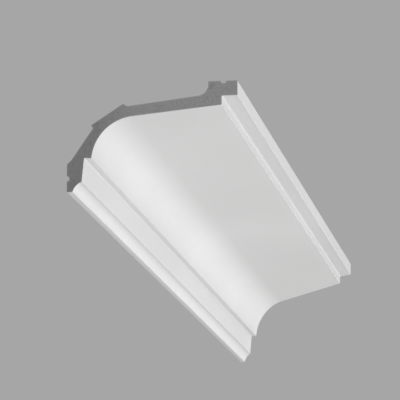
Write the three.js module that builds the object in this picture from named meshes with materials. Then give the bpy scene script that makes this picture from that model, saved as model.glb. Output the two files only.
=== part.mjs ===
// Cornice moulding length: one moulded length that covers the corner of a wall and a ceiling.
// Millimetres, +Z up. The wall face lies in the plane x = 0 and the room is towards +X.
// The length runs along Y, from the square-cut end at -Y to the mitred end at +Y.
// The origin is on the wall face, halfway along it, on the flat strip above its adhesive groove.

import * as THREE from 'three';

// Overall sizes
const lengthAtWall = 1070;
const projection = 140;
const drop = 88.5;
const originBelowCeiling = 70.4;

// Stepped lip along the ceiling
const lipHeight = 12.2;
const lipReturn = 13;
const fasciaHeight = 7.5;

// Big cove: a nearly flat soffit that turns down into a quarter hollow
const coveRadius = 37.4;
const coveCorner = { x: 23.6, z: -30 };
const coveArris = { x: 20.1, z: -61 };

// Flange on the wall, with a small cove under it
const ledgeInner = { x: 14.1, z: -60.5 };
const flangeFoot = { x: 12.2, z: -80.4 };
const smallCoveCorner = { x: 6.8, z: -83 };
const smallCoveRadius = 13;
const toeThickness = 4.7;

// Plain back: two facets, each ending in a low rib, then the underside of the hollow
const heel = { z: -65.6 };
const heelBend = { x: 3.9, z: -61.8 };
const lowerRib = { x: 21.3, z: -36.2, tipX: 19.8, tipZ: -33.6 };
const upperRib = { x: 46, z: -16.5, footX: 49.3, footZ: -18.7 };
const ceilingFlangeInner = 116.1;
const hollowCorner = { z: -10.8, radius: 9.4 };

// Adhesive grooves, one in each face that is glued
const grooveWidth = 4.8;
const grooveDepth = 2;
const grooveBottomWidth = 3;
const grooveBottomRadius = 1.2;
const wallGrooveZ = -77.5;
const ceilingGrooveX = 128.5;

// Rounding that the mould gives to each sharp edge, and how far a facet may stray from an arc
const arris = 0.7;
const softCorner = 0.4;
const facetError = 0.02;

// A corner of the section, in the plane across the length: x from the wall, z from the ceiling
function corner(x, z, radius) {
  return { point: new THREE.Vector2(x, z), radius };
}

// Four corners of a groove cut into a straight edge, from its first lip to its second
function groove(start, along, inward) {
  const side = (grooveWidth - grooveBottomWidth) / 2;
  const at = (distance, depth, radius) => {
    const point = start.clone().addScaledVector(along, distance).addScaledVector(inward, depth);
    return corner(point.x, point.y, radius);
  };
  return [
    at(0, 0, softCorner),
    at(side, grooveDepth, grooveBottomRadius),
    at(side + grooveBottomWidth, grooveDepth, grooveBottomRadius),
    at(grooveWidth, 0, softCorner),
  ];
}

// The section's corners, clockwise from the top of the lip
function sectionCorners() {
  const lipInner = projection - lipReturn;
  return [
    corner(projection, 0, softCorner),
    corner(projection, -lipHeight, arris),
    corner(lipInner, -lipHeight, softCorner),
    corner(lipInner, -lipHeight - fasciaHeight, arris),
    corner(coveCorner.x, coveCorner.z, coveRadius),
    corner(coveArris.x, coveArris.z, arris),
    corner(ledgeInner.x, ledgeInner.z, softCorner),
    corner(flangeFoot.x, flangeFoot.z, softCorner),
    corner(smallCoveCorner.x, smallCoveCorner.z, smallCoveRadius),
    corner(toeThickness, -drop, softCorner),
    corner(0, -drop, softCorner),
    ...groove(
      new THREE.Vector2(0, wallGrooveZ - grooveWidth / 2),
      new THREE.Vector2(0, 1),
      new THREE.Vector2(1, 0),
    ),
    corner(0, heel.z, softCorner),
    corner(heelBend.x, heelBend.z, arris),
    corner(lowerRib.x, lowerRib.z, softCorner),
    corner(lowerRib.tipX, lowerRib.tipZ, softCorner),
    corner(upperRib.x, upperRib.z, softCorner),
    corner(upperRib.footX, upperRib.footZ, arris),
    corner(ceilingFlangeInner, hollowCorner.z, hollowCorner.radius),
    corner(ceilingFlangeInner, 0, softCorner),
    ...groove(
      new THREE.Vector2(ceilingGrooveX - grooveWidth / 2, 0),
      new THREE.Vector2(1, 0),
      new THREE.Vector2(0, -1),
    ),
  ];
}

// Rounds one corner: an arc that is tangent to both edges meeting there
function roundedCorner(before, here, after) {
  const toBefore = before.point.clone().sub(here.point).normalize();
  const toAfter = after.point.clone().sub(here.point).normalize();
  const halfOpening = Math.acos(toBefore.dot(toAfter)) / 2;
  const turn = Math.PI - 2 * halfOpening;
  const centreDistance = here.radius / Math.sin(halfOpening);
  const bisector = toBefore.clone().add(toAfter).normalize();
  const centre = here.point.clone().addScaledVector(bisector, centreDistance);
  const turnPerFacet = 2 * Math.acos(1 - facetError / here.radius);
  const facets = Math.ceil(turn / turnPerFacet);
  const towardsCorner = bisector.clone().negate();
  const side = Math.sign(towardsCorner.cross(toAfter));
  return Array.from({ length: facets + 1 }, (_, i) => {
    const angle = side * turn * (i / facets - 0.5);
    const spoke = towardsCorner.clone().rotateAround(new THREE.Vector2(), angle);
    return centre.clone().addScaledVector(spoke, here.radius);
  });
}

function sectionOutline() {
  const corners = sectionCorners();
  const count = corners.length;
  return corners.flatMap((here, i) =>
    roundedCorner(corners[(i + count - 1) % count], here, corners[(i + 1) % count]),
  );
}

// The solid: the section run along the length, square at the near end.
// At the far end each point is drawn back by its distance from the wall, a 45 degree mitre.
function corniceGeometry() {
  const outline = sectionOutline().map((point) => new THREE.Vector2(point.x, point.y + originBelowCeiling));
  const geometry = new THREE.ExtrudeGeometry(new THREE.Shape(outline), {
    depth: lengthAtWall,
    steps: 1,
    bevelEnabled: false,
  });
  // The extrusion runs along the shape's own z, so a quarter turn about X lays it along Y
  geometry.rotateX(Math.PI / 2);
  const position = geometry.getAttribute('position');
  for (let i = 0; i < position.count; i += 1) {
    const x = position.getX(i);
    const alongLength = -position.getY(i);
    const isNearEnd = alongLength > lengthAtWall / 2;
    position.setY(i, isNearEnd ? -lengthAtWall / 2 : lengthAtWall / 2 - x);
  }
  geometry.computeVertexNormals();
  return geometry;
}

const primedFoam = new THREE.MeshStandardMaterial({ color: 0xecebe8, roughness: 0.55, metalness: 0 });

const cornice = new THREE.Mesh(corniceGeometry(), primedFoam);
cornice.name = 'cornice_length';

const model = new THREE.Group();
model.add(cornice);

export default model;
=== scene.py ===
import math
import random

import bpy
import numpy as np
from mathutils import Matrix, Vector, noise
from mathutils.geometry import delaunay_2d_cdt


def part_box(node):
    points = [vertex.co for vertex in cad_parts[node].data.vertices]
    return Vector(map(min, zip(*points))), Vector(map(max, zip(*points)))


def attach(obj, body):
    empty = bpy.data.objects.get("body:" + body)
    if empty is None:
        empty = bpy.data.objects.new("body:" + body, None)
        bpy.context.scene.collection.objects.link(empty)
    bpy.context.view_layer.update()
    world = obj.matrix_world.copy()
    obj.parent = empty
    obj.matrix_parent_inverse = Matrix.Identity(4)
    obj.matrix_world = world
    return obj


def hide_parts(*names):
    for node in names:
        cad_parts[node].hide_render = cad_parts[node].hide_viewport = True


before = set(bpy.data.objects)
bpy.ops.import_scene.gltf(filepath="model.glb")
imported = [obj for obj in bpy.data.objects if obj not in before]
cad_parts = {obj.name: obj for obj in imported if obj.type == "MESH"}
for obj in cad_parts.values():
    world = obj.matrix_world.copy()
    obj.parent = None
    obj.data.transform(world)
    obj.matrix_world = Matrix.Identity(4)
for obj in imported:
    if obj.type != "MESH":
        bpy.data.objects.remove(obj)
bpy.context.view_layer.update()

mm = 0.001  # every size below is in millimetres until it is placed
low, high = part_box("cornice_length")
projection = (high.x - low.x) / mm
drop = (high.z - low.z) / mm
length = (high.y - low.y) / mm
print("frame loaded: %.1f x %.1f x %.1f mm" % (projection, length, drop))


# Cornice moulding. The section is measured x from the wall and z from the ceiling.
moulding = {
    "lipHeight": 12.2,
    "lipReturn": 13.0,
    "fasciaHeight": 7.5,
    "coveCorner": (23.6, -30.0),
    "coveRadius": 37.4,
    "coveArris": (20.1, -61.0),
    "ledgeInner": (14.1, -60.5),
    "flangeFoot": (12.2, -80.4),
    "quirk": (11.0, -80.7),  # a fine step that the solid leaves out
    "smallCoveCorner": (6.8, -83.0),
    "smallCoveRadius": 12.8,
    "toeThickness": 4.7,
    "heel": -65.6,
    "heelBend": (3.9, -61.8),
    "lowerRib": (21.3, -36.2),
    "lowerRibTip": (19.8, -33.6),
    "upperRib": (46.0, -16.5),
    "upperRibFoot": (49.3, -18.7),
    "ceilingFlangeInner": 116.1,
    "hollowTop": -10.8,
    "hollowRadius": 9.4,
    "grooveWidth": 4.8,
    "grooveDepth": 2.0,
    "grooveBottom": 3.0,
    "grooveRadius": 1.2,
    "wallGroove": -77.5,
    "ceilingGroove": 128.5,
    "arris": 0.7,  # rounding of the edges that the room sees
    "innerCorner": 1.2,  # rounding under the lip and behind the ledge, where the mould's edge is full
    "softCorner": 0.4,  # rounding of the others
    "tightCorner": 0.2,  # rounding of the quirk
    "arcError": 0.004,  # how far a facet may stray from an arc
    "rubWidth": 0.8,  # how far wear reaches beside a rounded edge
    "paintedShadeReach": 6.5,  # how far below an inner corner the painted shade reaches
    "paintedShadeUpright": 0.3,  # the share of that painted shade on upright faces, where those turned down have all of it
    "flatStep": 5.0,  # between points along a flat stretch of the section
    "ringStep": 10.0,  # between rings along the length
    "closeRings": (0.7, 1.6, 3.5),  # from each saw cut to the rings beside it
    "seed": 11,
}

# Saw cuts at both ends: open cells, ridges from the blade, and a slightly torn edge.
sawCut = {
    "spacing": 0.85,  # mesh spacing across the cut
    "rowSpacing": 0.87,  # this and the next two are shares of that spacing
    "jitter": 0.2,
    "rimGap": 0.45,  # kept free along the outline
    "sink": 0.05,  # how far the cut face lies behind its rim
    "cellDepth": 0.3,
    "cellBias": 3,  # a higher power leaves more of the cells shallow
    "ridgePitch": 3.1,
    "ridgeDepth": 0.06,
    "ridgeTilt": 0.12,  # radians off level
    "ridgeWander": 2.0,  # in pitches, at most
    "wanderSize": 30.0,
    "rim": 0.3,  # stays smooth beside the outline
    "skin": 1.0,  # width over which the dense skin goes over into open cells
    "tear": 0.35,  # depth that the edge is torn back, times the noise above tearFrom
    "tearFrom": 0.35,
    "tearSize": 3.0,
    "hiddenTear": 0.6,  # the share of the tear where there is no primer
    "tearSlice": 3.7,  # where the noise is cut, another value moves the tears
    "edgeWear": 0.7,  # rub of the primer along each cut
}


def grooveCorners(m, start, along, inward):
    side = (m["grooveWidth"] - m["grooveBottom"]) / 2
    steps = (
        (0, 0, m["softCorner"]),
        (side, m["grooveDepth"], m["grooveRadius"]),
        (side + m["grooveBottom"], m["grooveDepth"], m["grooveRadius"]),
        (m["grooveWidth"], 0, m["softCorner"]),
    )
    return [(start + along * run + inward * deep, radius, "sanded") for run, deep, radius in steps]


def sectionCorners(m):
    # each corner: place, rounding, and the finish from there to the next corner, clockwise from the lip
    soft, arris, inner = m["softCorner"], m["arris"], m["innerCorner"]
    lipInner = projection - m["lipReturn"]
    fasciaFoot = -m["lipHeight"] - m["fasciaHeight"]
    flange = m["ceilingFlangeInner"]
    wallGroove = Vector((0, m["wallGroove"] - m["grooveWidth"] / 2))
    ceilingGroove = Vector((m["ceilingGroove"] - m["grooveWidth"] / 2, 0))
    right, up = Vector((1, 0)), Vector((0, 1))
    return [
        (Vector((projection, 0)), soft, "primed"),
        (Vector((projection, -m["lipHeight"])), arris, "primed"),
        (Vector((lipInner, -m["lipHeight"])), inner, "primed"),
        (Vector((lipInner, fasciaFoot)), arris, "primed"),
        (Vector(m["coveCorner"]), m["coveRadius"], "primed"),
        (Vector(m["coveArris"]), arris, "primed"),
        (Vector(m["ledgeInner"]), inner, "primed"),
        (Vector(m["flangeFoot"]), soft, "primed"),
        (Vector(m["quirk"]), m["tightCorner"], "primed"),
        (Vector(m["smallCoveCorner"]), m["smallCoveRadius"], "primed"),
        (Vector((m["toeThickness"], -drop)), soft, "primed"),
        (Vector((0, -drop)), soft, "sanded"),
        *grooveCorners(m, wallGroove, up, right),
        (Vector((0, m["heel"])), soft, "raw"),
        (Vector(m["heelBend"]), arris, "raw"),
        (Vector(m["lowerRib"]), soft, "raw"),
        (Vector(m["lowerRibTip"]), soft, "raw"),
        (Vector(m["upperRib"]), soft, "raw"),
        (Vector(m["upperRibFoot"]), arris, "raw"),
        (Vector((flange, m["hollowTop"])), m["hollowRadius"], "raw"),
        (Vector((flange, 0)), soft, "sanded"),
        *grooveCorners(m, ceilingGroove, right, -up),
    ]


def roundedCorner(before, here, after, radius, error):
    # points and outward normals of an arc tangent to both edges
    toBefore, toAfter = (before - here).normalized(), (after - here).normalized()
    half = math.acos(toBefore.dot(toAfter)) / 2
    turn = math.pi - 2 * half
    bisector = (toBefore + toAfter).normalized()
    centre = here + bisector * (radius / math.sin(half))
    convex = (here - before).cross(after - here) < 0
    side = 1 if (-bisector).cross(toAfter) > 0 else -1
    facets = math.ceil(turn / (2 * math.acos(1 - error / radius)))
    arc = []
    for i in range(facets + 1):
        angle = side * turn * (i / facets - 0.5)
        c, s = math.cos(angle), math.sin(angle)
        spoke = Vector((-bisector.x * c + bisector.y * s, -bisector.x * s - bisector.y * c))
        arc.append((centre + spoke * radius, spoke if convex else -spoke))
    return arc, convex


def sectionRing(m):
    # the outline as points with a normal, the finish that follows, and how much the edge gets rubbed
    corners = sectionCorners(m)
    count = len(corners)
    arcs = []
    for i, (here, radius, _) in enumerate(corners):
        before, after = corners[i - 1][0], corners[(i + 1) % count][0]
        arcs.append(roundedCorner(before, here, after, radius, m["arcError"]))
    ring = []
    for i, (arc, convex) in enumerate(arcs):
        radius, finish = corners[i][1:]
        rub = 1.0 if convex and radius <= m["arris"] else 0.0
        ring += [(point, normal, finish, rub) for point, normal in arc]
        start, normal = arc[-1]
        end = arcs[(i + 1) % count][0][0][0]
        run, margin = (end - start).length, m["rubWidth"]
        if run < 3 * margin:  # too short to hold a stretch without wear
            continue
        steps = math.ceil((run - 2 * margin) / m["flatStep"])
        shares = [(margin + (run - 2 * margin) * k / steps) / run for k in range(steps + 1)]
        ring += [(start.lerp(end, share), normal, finish, 0.0) for share in shares]
    return ring


def paintedShadeShares(m, ring):
    # painted shade for each point of the outline: up to 1 under an inner corner of the room side, 0 beyond
    # its reach
    corners = sectionCorners(m)
    inner = [Vector((0, -drop))]  # the toe's underside, which lies in the corner with the wall, gets the painted shade as well
    for i, (here, radius, finish) in enumerate(corners):
        turn = (here - corners[i - 1][0]).cross(corners[(i + 1) % len(corners)][0] - here)
        if finish == "primed" and radius <= m["innerCorner"] and turn > 0:
            inner.append(here)
    shares = []
    for point, normal, *_ in ring:
        above = [(point - here).length for here in inner if point.y < here.y + m["softCorner"]]
        nearest = min(above, default=m["paintedShadeReach"])
        near = max(0, 1 - nearest / m["paintedShadeReach"])
        shares.append(near * max(m["paintedShadeUpright"], -normal.y))
    return shares


def lengthStations(m):
    # each ring: an offset in millimetres, and a share of the moulding's length that is added to it
    close = m["closeRings"]
    middle = round(length / m["ringStep"])
    near = [(0.0, 0.0)] + [(d, 0.0) for d in close]
    far = [(-d, 1.0) for d in reversed(close)] + [(0.0, 1.0)]
    return near + [(0.0, i / middle) for i in range(1, middle)] + far


def carried(point, station):
    # millimetres from the near end: by the 45 degree mitre, the length shrinks away from the wall
    offset, share = station
    return offset + share * (length - point.x)


def placed(point, run):
    return (low.x + point.x * mm, low.y + run * mm, high.z + point.y * mm)


def outlineDistance(points, ring):
    # distance from each point to the outline, and whether it is inside
    starts = np.array([p[0][:] for p in ring])
    ends = np.roll(starts, -1, axis=0)
    nearest = np.full(len(points), np.inf)
    inside = np.zeros(len(points), bool)
    for start, end in zip(starts, ends):
        along = end - start
        share = np.clip((points - start) @ along / (along @ along), 0, 1)
        nearest = np.minimum(nearest, np.linalg.norm(points - start - share[:, None] * along, axis=1))
        crosses = (start[1] > points[:, 1]) != (end[1] > points[:, 1])
        if abs(along[1]) > 1e-9:  # a level edge is never crossed
            meets = start[0] + (points[:, 1] - start[1]) / along[1] * along[0]
            inside ^= crosses & (points[:, 0] < meets)
    return nearest, inside


def cutFaceMesh(ring, cut, rng):
    # a fine mesh across the section: places, distance to the outline, ring index or None, triangles
    step = cut["spacing"]
    columns = np.arange(step / 2, projection, step)
    rows = np.arange(-drop + step / 2, 0, step * cut["rowSpacing"])
    grid = np.array([(x + (k % 2) * step / 2, z) for k, z in enumerate(rows) for x in columns])
    off = cut["jitter"]
    grid += np.array([(rng.uniform(-off, off) * step, rng.uniform(-off, off) * step) for _ in grid])
    distance, inside = outlineDistance(grid, ring)
    grid = grid[inside & (distance > step * cut["rimGap"])]
    outline = [p[0] for p in ring]
    count = len(outline)
    edges = [(i, (i + 1) % count) for i in range(count)]
    seeds = outline + [Vector(p) for p in grid]
    insideOnly, tolerance = 1, 1e-6
    places, _, triangles, origins, _, _ = delaunay_2d_cdt(
        seeds, edges, [list(range(count))], insideOnly, tolerance)
    depth = outlineDistance(np.array([p[:] for p in places]), ring)[0]
    ringIndex = [next((i for i in source if i < count), None) for source in origins]
    return places, depth, ringIndex, triangles


def sawnDepth(place, depth, cut, rng):
    # how far the cut face lies behind its plane: blade ridges and open cells, none in the dense skin
    across = place.y * math.cos(cut["ridgeTilt"]) + place.x * math.sin(cut["ridgeTilt"])
    size = cut["wanderSize"]
    wander = noise.noise(Vector((place.x / size, place.y / size, 0))) * cut["ridgeWander"]
    ridge = 0.5 + 0.5 * math.sin(2 * math.pi * (across / cut["ridgePitch"] + wander))
    share = min(1, max(0, depth - cut["rim"]) / cut["skin"])
    return (ridge * cut["ridgeDepth"] + rng.random() ** cut["cellBias"] * cut["cellDepth"]) * share


def bodyRings(ring, stations, cut):
    # places and wear of every ring, with the edge of each saw cut torn back a little
    steps = [(ring[(i + 1) % len(ring)][0] - ring[i][0]).length for i in range(len(ring) - 1)]
    travelled = np.cumsum([0] + steps)
    ends = {0: 1, len(stations) - 1: -1}
    places, rub = [], []
    for s, station in enumerate(stations):
        for i, (point, _, finish, edge) in enumerate(ring):
            run = carried(point, station)
            if s in ends:
                spot = Vector((travelled[i] / cut["tearSize"], s, cut["tearSlice"]))
                ragged = 0.5 + 0.5 * noise.noise(spot)
                tear = cut["tear"] * max(0, ragged - cut["tearFrom"])
                tear *= 1 if finish == "primed" else cut["hiddenTear"]
                run += ends[s] * tear
                edge = max(edge, cut["edgeWear"])
            places.append(placed(point, run))
            rub.append(edge)
    return places, rub


def buildMoulding(m, cut):
    rng = random.Random(m["seed"])
    ring = sectionRing(m)
    stations = lengthStations(m)
    count, last = len(ring), len(stations) - 1
    finishes = ["primed", "sanded", "raw", "sawn"]
    places, rub = bodyRings(ring, stations, cut)
    bodyCount = len(places)
    # painted shade for every point of every ring
    paintedShade = paintedShadeShares(m, ring) * len(stations)
    depths = [0.0] * bodyCount
    faces, slots, normals = [], [], []
    for s in range(last):
        for i in range(count):
            j = (i + 1) % count
            faces.append((s * count + i, s * count + j, (s + 1) * count + j, (s + 1) * count + i))
            slots.append(finishes.index(ring[i][2]))
            normals += [(ring[k][1].x, 0, ring[k][1].y) for k in (i, j, j, i)]
    cutPlaces, cutDepth, ringIndex, triangles = cutFaceMesh(ring, cut, rng)
    for s, inward in ((0, 1), (last, -1)):
        vertexOf = []
        for place, depth, source in zip(cutPlaces, cutDepth, ringIndex):
            if source is not None:
                vertexOf.append(s * count + source)
                continue
            run = carried(place, stations[s]) + inward * (cut["sink"] + sawnDepth(place, depth, cut, rng))
            vertexOf.append(len(places))
            places.append(placed(place, run))
            depths.append(depth)
            rub.append(0.0)
            paintedShade.append(0.0)
        for triangle in triangles:
            corners = [vertexOf[k] for k in triangle]
            a, b, c = (Vector(places[k]) for k in corners)
            facing = (b - a).cross(c - a).y
            faces.append(corners if facing * inward < 0 else corners[::-1])
            slots.append(finishes.index("sawn"))
    mesh = bpy.data.meshes.new("corniceMoulding")
    mesh.from_pydata(places, [], faces)
    mesh.polygons.foreach_set("material_index", slots)
    mesh.polygons.foreach_set("use_smooth", [True] * len(faces))
    for name, values in (("rub", rub), ("paintedShade", paintedShade), ("skinDepth", depths)):
        mesh.attributes.new(name, "FLOAT", "POINT").data.foreach_set("value", values)
    for edge in mesh.edges:
        a, b = edge.vertices
        if a < bodyCount and b < bodyCount and a // count == b // count and a // count in (0, last):
            edge.use_edge_sharp = True
    normals += [(0, 0, 0)] * (len(mesh.loops) - len(normals))  # the cut faces keep their own
    mesh.normals_split_custom_set(normals)
    piece = bpy.data.objects.new("corniceMoulding", mesh)
    bpy.context.scene.collection.objects.link(piece)
    print("moulding built:", len(mesh.polygons), "faces,", count, "points in the section")
    return piece


# Materials
def toLinear(colour):
    channels = [int(colour[i:i + 2], 16) / 255 for i in (1, 3, 5)]
    return [c / 12.92 if c <= 0.04045 else ((c + 0.055) / 1.055) ** 2.4 for c in channels] + [1.0]


def addNode(tree, kind, settings=None, links=None):
    # inputs go by name or number, and a link starts at a node or at one of its outputs
    new = tree.nodes.new("ShaderNode" + kind)
    for name, value in (settings or {}).items():
        if isinstance(value, str) and value.startswith("#"):
            value = toLinear(value)
        if isinstance(name, int) or name in new.inputs:
            new.inputs[name].default_value = value
        else:
            setattr(new, name, value)
    for name, source in (links or {}).items():
        output = source if isinstance(source, bpy.types.NodeSocket) else source.outputs[0]
        tree.links.new(output, new.inputs[name])
    return new


def perMetre(size):
    return 1 / (size * mm)  # a texture's scale for a pattern of this size in millimetres


# A range below goes from two values to two others, or to 0 and 1 where it names no others.
rangeEnds = ("From Min", "From Max", "To Min", "To Max")


def newMaterial(name):
    material = bpy.data.materials.new(name)
    material.use_nodes = True
    tree = material.node_tree
    tree.nodes.clear()
    return material, tree, addNode(tree, "TexCoord").outputs["Object"]


# Acrylic primer sprayed on moulded polyurethane: the eye gets a clean satin white, a faint
# orange peel, slow changes of tone, arrises where the coat is thin, and painted shade greying the inner
# corners.
# The real peel is about 1 mm across, drawn at 2.4 mm so that it shows.
primer = {
    "white": "#E6E6E6",
    "shade": "#E2E2E2",
    "thin": "#CECECE",  # on rubbed edges
    "paintedShadeTone": "#D8D8D8",  # painted shade under inner corners
    "cloud": 260.0,  # changes of tone along the length
    "cloudRange": (0.35, 0.65),
    "patch": 14.0,  # changes of wear and gloss
    "patchRange": (0.3, 0.7),
    "wear": (0.15, 0.6),  # least and most of the thin tone on a rubbed edge
    "peel": 2.4,
    "peelHeight": 0.02,
    "swell": 90.0,  # unevenness of the mould
    "swellHeight": 0.12,
    "roughness": (0.48, 0.56),
}


def primedMaterial(p):
    material, tree, place = newMaterial("sprayed primer")
    cloud = addNode(tree, "TexNoise", {"Scale": perMetre(p["cloud"]), "Detail": 2.0}, {"Vector": place})
    patch = addNode(tree, "TexNoise", {"Scale": perMetre(p["patch"]), "Detail": 3.0}, {"Vector": place})
    peel = addNode(tree, "TexNoise", {"Scale": perMetre(p["peel"]), "Detail": 1.0}, {"Vector": place})
    swell = addNode(tree, "TexNoise", {"Scale": perMetre(p["swell"]), "Detail": 1.0}, {"Vector": place})
    rub = addNode(tree, "Attribute", {"attribute_name": "rub"}).outputs["Fac"]
    uneven = addNode(tree, "MapRange", dict(zip(rangeEnds, p["patchRange"] + p["wear"])), {"Value": patch})
    worn = addNode(tree, "Math", {"operation": "MULTIPLY"}, {0: rub, 1: uneven})
    shade = addNode(tree, "MapRange", dict(zip(rangeEnds, p["cloudRange"])), {"Value": cloud})
    tone = addNode(tree, "Mix", {"data_type": "RGBA", 6: p["white"], 7: p["shade"]}, {0: shade}).outputs[2]
    # painted shade: greyer under the inner corners and on the toe's underside, most on faces turned down
    paintedShade = addNode(tree, "Attribute", {"attribute_name": "paintedShade"}).outputs["Fac"]
    tone = addNode(tree, "Mix", {"data_type": "RGBA", 7: p["paintedShadeTone"]}, {0: paintedShade, 6: tone}).outputs[2]
    colour = addNode(tree, "Mix", {"data_type": "RGBA", 7: p["thin"]}, {0: worn, 6: tone}).outputs[2]
    gloss = dict(zip(rangeEnds, p["patchRange"] + p["roughness"]))
    roughness = addNode(tree, "MapRange", gloss, {"Value": patch})
    broad = addNode(tree, "Bump", {"Distance": p["swellHeight"] * mm}, {"Height": swell})
    fine = addNode(tree, "Bump", {"Distance": p["peelHeight"] * mm}, {"Height": peel, "Normal": broad})
    coat = addNode(tree, "BsdfPrincipled", {"IOR": 1.49}, {
        "Base Color": colour, "Roughness": roughness, "Normal": fine})
    addNode(tree, "OutputMaterial", {}, {"Surface": coat})
    return material


# Polyurethane foam, sawn: a grey dusty face of fine closed cells with the blade's marks across it,
# a denser, smoother skin at its edge, and painted shade that makes it slightly darker towards the wall.
# The real cells are 0.3 mm, drawn at 1.3 mm so they show.
foam = {
    "body": "#B3B3B3",
    "cellWall": "#C0C0C0",
    "pore": "#969696",
    "skin": "#C3C3C2",
    # painted shade, darkening the cut face towards the wall
    "paintedWallShade": "#E0E0E0",
    "paintedWallShadeReach": (14.0, 58.0),  # from the wall, where that painted shade fades out
    "cell": 1.3,
    "cellRange": (0.15, 0.6),
    "cellHeight": 0.12,
    "mottle": 11.0,
    "mottleRange": (0.52, 0.72, 0.0, 0.5),
    "scoreWidth": 1.6,  # marks of the blade
    "scoreSlimness": 0.05,  # width over length
    "scoreRange": (0.5, 0.7, 0.0, 0.35),
    "scoreHeight": 0.05,
    "skinRange": (0.5, 1.3),  # from the outline, where the skin goes over into the cells
    "roughness": (0.82, 0.95),  # of the skin and of the cells
}


def sawnMaterial(p):
    material, tree, place = newMaterial("sawn polyurethane foam")
    cells = addNode(tree, "TexVoronoi", {"Scale": perMetre(p["cell"])}, {"Vector": place})
    mottle = addNode(tree, "TexNoise", {"Scale": perMetre(p["mottle"]), "Detail": 5.0}, {"Vector": place})
    slim = p["scoreSlimness"]
    tilt = (0, -sawCut["ridgeTilt"], 0)
    along = addNode(tree, "Mapping", {"Scale": (slim, slim, 1.0), "Rotation": tilt}, {"Vector": place})
    score = addNode(tree, "TexNoise", {"Scale": perMetre(p["scoreWidth"]), "Detail": 2.0},
                    {"Vector": along})
    depth = addNode(tree, "Attribute", {"attribute_name": "skinDepth"}).outputs["Fac"]
    inside = addNode(tree, "MapRange", dict(zip(rangeEnds, p["skinRange"])), {"Value": depth})
    bubble = addNode(tree, "MapRange", dict(zip(rangeEnds, p["cellRange"])), {"Value": cells})
    dark = addNode(tree, "MapRange", dict(zip(rangeEnds, p["mottleRange"])), {"Value": mottle})
    scored = addNode(tree, "MapRange", dict(zip(rangeEnds, p["scoreRange"])), {"Value": score})
    tone = addNode(tree, "Mix", {"data_type": "RGBA", 6: p["body"], 7: p["cellWall"]},
                   {0: bubble}).outputs[2]
    tone = addNode(tree, "Mix", {"data_type": "RGBA", 7: p["pore"]}, {0: dark, 6: tone}).outputs[2]
    tone = addNode(tree, "Mix", {"data_type": "RGBA", 7: p["cellWall"]}, {0: scored, 6: tone}).outputs[2]
    tone = addNode(tree, "Mix", {"data_type": "RGBA", 6: p["skin"]}, {0: inside, 7: tone}).outputs[2]
    # painted shade: the cut face darker towards the wall, full up to the first distance, gone by the
    # second
    fullShade, light = p["paintedWallShadeReach"]
    fromWall = addNode(tree, "SeparateXYZ", {}, {"Vector": place}).outputs["X"]
    foot = addNode(tree, "MapRange", {"From Min": fullShade * mm, "From Max": light * mm}, {"Value": fromWall})
    wallShade = addNode(tree, "Mix", {"data_type": "RGBA", 6: p["paintedWallShade"], 7: "#FFFFFF"},
                      {0: foot}).outputs[2]
    colour = addNode(tree, "Mix", {"data_type": "RGBA", "blend_type": "MULTIPLY", 0: 1.0},
                     {6: tone, 7: wallShade}).outputs[2]
    roughness = addNode(tree, "MapRange", dict(zip(rangeEnds[2:], p["roughness"])), {"Value": inside})
    relief = addNode(tree, "Math", {"operation": "MULTIPLY"}, {0: bubble, 1: inside})
    pitted = addNode(tree, "Bump", {"Distance": p["cellHeight"] * mm}, {"Height": relief})
    sawn = addNode(tree, "Bump", {"Distance": p["scoreHeight"] * mm}, {"Height": score, "Normal": pitted})
    face = addNode(tree, "BsdfPrincipled", {"IOR": 1.5}, {
        "Base Color": colour, "Roughness": roughness, "Normal": sawn})
    addNode(tree, "OutputMaterial", {}, {"Surface": face})
    return material


# Polyurethane as it leaves the mould: a smooth off-white skin with flow marks along the length
# and pinholes where gas was trapped.
mouldedSkin = {
    "pale": "#D8D8D7",
    "flow": "#D0D0CE",
    "pinhole": "#A2A19F",
    "flowWidth": 22.0,
    "flowStretch": 3.0,  # length over width
    "flowBend": 0.6,
    "flowRange": (0.35, 0.68),
    "glossRange": (0.3, 0.7),
    "hole": 7.0,  # from one pinhole to the next
    "holeRange": (0.05, 0.09, 1.0, 0.0),
    "holeDepth": 0.4,
    "ripple": 0.25,
    "roughness": (0.5, 0.68),
}


def mouldedMaterial(p):
    material, tree, place = newMaterial("raw moulded polyurethane")
    along = addNode(tree, "Mapping", {"Scale": (1.0, 1 / p["flowStretch"], 1.0)}, {"Vector": place})
    flow = addNode(tree, "TexNoise", {"Scale": perMetre(p["flowWidth"]), "Detail": 4.0,
                                      "Distortion": p["flowBend"]}, {"Vector": along})
    holes = addNode(tree, "TexVoronoi", {"Scale": perMetre(p["hole"])}, {"Vector": place})
    pin = addNode(tree, "MapRange", dict(zip(rangeEnds, p["holeRange"])), {"Value": holes})
    shade = addNode(tree, "MapRange", dict(zip(rangeEnds, p["flowRange"])), {"Value": flow})
    tone = addNode(tree, "Mix", {"data_type": "RGBA", 6: p["pale"], 7: p["flow"]}, {0: shade}).outputs[2]
    colour = addNode(tree, "Mix", {"data_type": "RGBA", 7: p["pinhole"]}, {0: pin, 6: tone}).outputs[2]
    gloss = dict(zip(rangeEnds, p["glossRange"] + p["roughness"]))
    roughness = addNode(tree, "MapRange", gloss, {"Value": flow})
    dent = addNode(tree, "Bump", {"Distance": p["holeDepth"] * mm, "invert": True}, {"Height": pin})
    ripple = addNode(tree, "Bump", {"Distance": p["ripple"] * mm}, {"Height": flow, "Normal": dent})
    skin = addNode(tree, "BsdfPrincipled", {"IOR": 1.5}, {
        "Base Color": colour, "Roughness": roughness, "Normal": ripple})
    addNode(tree, "OutputMaterial", {}, {"Surface": skin})
    return material


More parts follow.
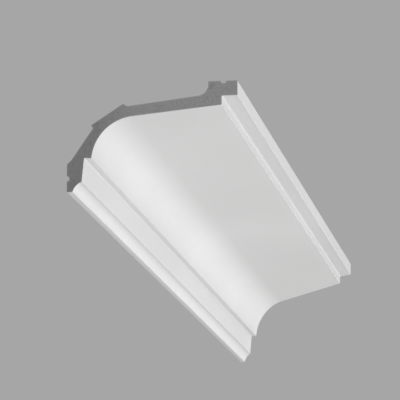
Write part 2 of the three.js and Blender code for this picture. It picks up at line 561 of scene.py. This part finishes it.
# The same skin sanded along its length to key the adhesive: dull, with fine straight scratches.
# The real scratches are about 0.2 mm wide, drawn at 0.7 mm so they show.
sandedSkin = {
    "pale": "#DCDCDB",
    "scratch": "#C9C9C8",
    "scratchWidth": 0.7,
    "scratchSlimness": 0.012,  # width over length
    "scratchRange": (0.45, 0.7),
    "scratchDepth": 0.04,
    "dust": 30.0,
    "dustRange": (0.5, 0.8, 0.0, 0.6),
    "glossRange": (0.3, 0.7),
    "roughness": (0.78, 0.92),
}


def sandedMaterial(p):
    material, tree, place = newMaterial("sanded polyurethane")
    along = addNode(tree, "Mapping", {"Scale": (1.0, p["scratchSlimness"], 1.0)}, {"Vector": place})
    score = addNode(tree, "TexNoise", {"Scale": perMetre(p["scratchWidth"]), "Detail": 3.0},
                    {"Vector": along})
    dust = addNode(tree, "TexNoise", {"Scale": perMetre(p["dust"]), "Detail": 4.0}, {"Vector": place})
    bare = addNode(tree, "MapRange", dict(zip(rangeEnds, p["scratchRange"])), {"Value": score})
    dusty = addNode(tree, "MapRange", dict(zip(rangeEnds, p["dustRange"])), {"Value": dust})
    tone = addNode(tree, "Mix", {"data_type": "RGBA", 6: p["pale"], 7: p["scratch"]}, {0: bare}).outputs[2]
    colour = addNode(tree, "Mix", {"data_type": "RGBA", 7: p["pale"]}, {0: dusty, 6: tone}).outputs[2]
    gloss = dict(zip(rangeEnds, p["glossRange"] + p["roughness"]))
    roughness = addNode(tree, "MapRange", gloss, {"Value": dust})
    scratched = addNode(tree, "Bump", {"Distance": p["scratchDepth"] * mm}, {"Height": score})
    face = addNode(tree, "BsdfPrincipled", {"IOR": 1.5}, {
        "Base Color": colour, "Roughness": roughness, "Normal": scratched})
    addNode(tree, "OutputMaterial", {}, {"Surface": face})
    return material


piece = buildMoulding(moulding, sawCut)
for material in (primedMaterial(primer), sandedMaterial(sandedSkin), mouldedMaterial(mouldedSkin),
                 sawnMaterial(foam)):
    piece.data.materials.append(material)
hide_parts("cornice_length")
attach(piece, "root")
print("materials made")


# Studio: a pale floor far below, the same soft grey all round, and broad soft panels.
studio = {
    "surround": "#A6A6A6",
    "floorTone": "#DADAD9",
    "floorShade": "#D6D6D5",
    "floorBelow": 2.5,  # metres under the origin, as a cornice hangs
    "floorRadius": 40.0,
    "floorSides": 96,
    "floorPatches": 3.0,  # to a metre
    "floorFade": (5.0, 11.0),  # where the floor's tone goes over into the surround
    "lights": {  # place in metres, size in metres, power in watts
        "roomSideLight": ((2.29, -0.5, -0.575), (1.4, 1.2), 21.5),
        "lowLight": ((0.665, -0.5, -2.2), (1.4, 1.2), 15.5),
        "highLight": ((1.83, -0.5, 1.5), (1.4, 1.2), 8.5),
        "farEndLight": ((1.15, 3.7, -0.45), (1.9, 1.9), 18.5),
        "backFill": ((-2.4, 1.2, 2.6), (2.0, 2.0), 68.0),
    },
}


def addAreaLight(name, place, size, power, target):
    light = bpy.data.lights.new(name, "AREA")
    light.shape = "RECTANGLE"
    light.size, light.size_y = size
    light.energy = power
    lamp = bpy.data.objects.new(name, light)
    lamp.location = place
    lamp.rotation_euler = (target - Vector(place)).to_track_quat("-Z", "Y").to_euler()
    lamp.visible_camera = False
    bpy.context.scene.collection.objects.link(lamp)


def addFloor(s):
    bpy.ops.mesh.primitive_circle_add(vertices=s["floorSides"], radius=s["floorRadius"],
                                      fill_type="NGON", location=(0, 0, -s["floorBelow"]))
    floor = bpy.context.object
    floor.name = "studioFloor"
    material, tree, place = newMaterial("matt pale floor")
    patches = addNode(tree, "TexNoise", {"Scale": s["floorPatches"], "Detail": 3.0}, {"Vector": place})
    tone = addNode(tree, "Mix", {"data_type": "RGBA", 6: s["floorTone"], 7: s["floorShade"]},
                   {0: patches}).outputs[2]
    pale = addNode(tree, "BsdfPrincipled", {"Roughness": 0.9}, {"Base Color": tone})
    surround = addNode(tree, "Emission", {"Color": s["surround"]})
    radius = addNode(tree, "VectorMath", {"operation": "LENGTH"}, {0: place}).outputs["Value"]
    away = addNode(tree, "MapRange", dict(zip(rangeEnds, s["floorFade"])), {"Value": radius})
    mix = addNode(tree, "MixShader", {}, {0: away, 1: pale, 2: surround})
    addNode(tree, "OutputMaterial", {}, {"Surface": mix})
    floor.data.materials.append(material)


def lightStudio(s):
    world = bpy.data.worlds.new("softStudio")
    world.use_nodes = True
    background = world.node_tree.nodes["Background"]
    background.inputs["Color"].default_value = toLinear(s["surround"])
    background.inputs["Strength"].default_value = 1.0
    bpy.context.scene.world = world
    middle = Vector(((low.x + high.x) / 2, 0, (low.z + high.z) / 2))
    for name, (place, size, power) in s["lights"].items():
        addAreaLight(name, place, size, power, middle)
    addFloor(s)
    scene = bpy.context.scene
    scene.view_settings.view_transform = "Standard"
    scene.view_settings.look = "None"
    print("studio lit")


# Camera: below the ceiling and out in the room, where the run's lines meet as they do in the photo.
view = {
    "fromCorner": (0.473, -2.484, -0.560),  # metres from the wall and ceiling corner of the near end
    "aim": (0.072, -0.28, 0.020),
    "focal": 285.0,
    "sensor": 36.0,
    "clip": (0.05, 100.0),
}


def addCamera(v):
    data = bpy.data.cameras.new("camera")
    data.sensor_width = v["sensor"]
    data.lens = v["focal"]
    data.clip_start, data.clip_end = v["clip"]
    camera = bpy.data.objects.new("camera", data)
    corner = Vector((low.x, low.y, high.z))
    camera.location = corner + Vector(v["fromCorner"])
    camera.rotation_euler = (Vector(v["aim"]) - camera.location).to_track_quat("-Z", "Y").to_euler()
    bpy.context.scene.collection.objects.link(camera)
    bpy.context.scene.camera = camera
    print("camera at %.3f %.3f %.3f m" % camera.location[:])


lightStudio(studio)
addCamera(view)
